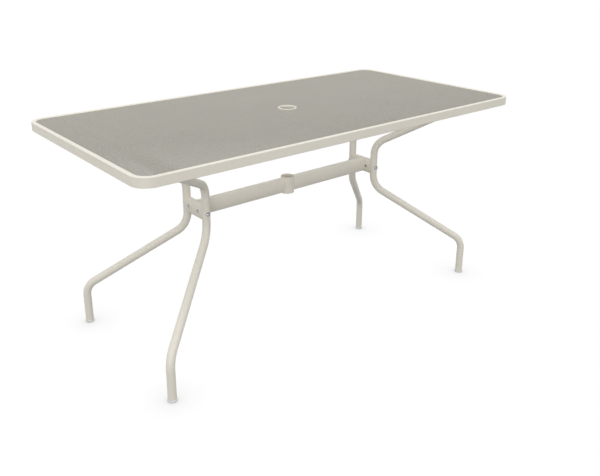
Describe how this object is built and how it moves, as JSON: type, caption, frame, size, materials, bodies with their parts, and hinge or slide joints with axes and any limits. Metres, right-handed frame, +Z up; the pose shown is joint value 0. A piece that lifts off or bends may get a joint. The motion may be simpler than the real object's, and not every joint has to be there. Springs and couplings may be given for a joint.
{
  "type": "garden table",
  "caption": "Rectangular garden table with a fine metal mesh top in a tube rim, on splayed bent tube legs joined by a long beam with a parasol sleeve.",
  "frame": {"origin": "on the floor, under the middle of the top", "axes": "+X along the table to the right, +Y from the front to the back, +Z up"},
  "size_m": [1.6, 0.8, 0.76],
  "materials": {
    "paint": "satin powder coat",
    "mesh_paint": "satin powder coat",
    "steel": "bright zinc",
    "glide_plastic": "satin",
    "grey_plastic": "matt"
  },
  "bodies": {
    "root": {"rim_frame": "paint", "parasol_ring": "paint", "parasol_sleeve": "paint", "cross_bar_left": "paint", "cross_bar_right": "paint", "hole_bar_left": "paint", "hole_bar_right": "paint", "bridge_left": "paint", "bridge_right": "paint", "beam_left": "paint", "beam_right": "paint", "leg_front_left": "paint", "leg_back_left": "paint", "leg_front_right": "paint", "leg_back_right": "paint", "mesh_panel": "mesh_paint", "leg_bolts": "steel", "leg_bolt_washers": "steel", "barrel_nuts": "steel", "arm_screws": "steel", "arm_screw_washers": "steel", "rivet_nuts": "steel", "glide_front_left": "glide_plastic", "glide_back_left": "glide_plastic", "glide_front_right": "glide_plastic", "glide_back_right": "glide_plastic", "saddle_front_left": "grey_plastic", "saddle_back_left": "grey_plastic", "saddle_front_right": "grey_plastic", "saddle_back_right": "grey_plastic", "arm_plugs": "grey_plastic"}
  },
  "joints": []
}
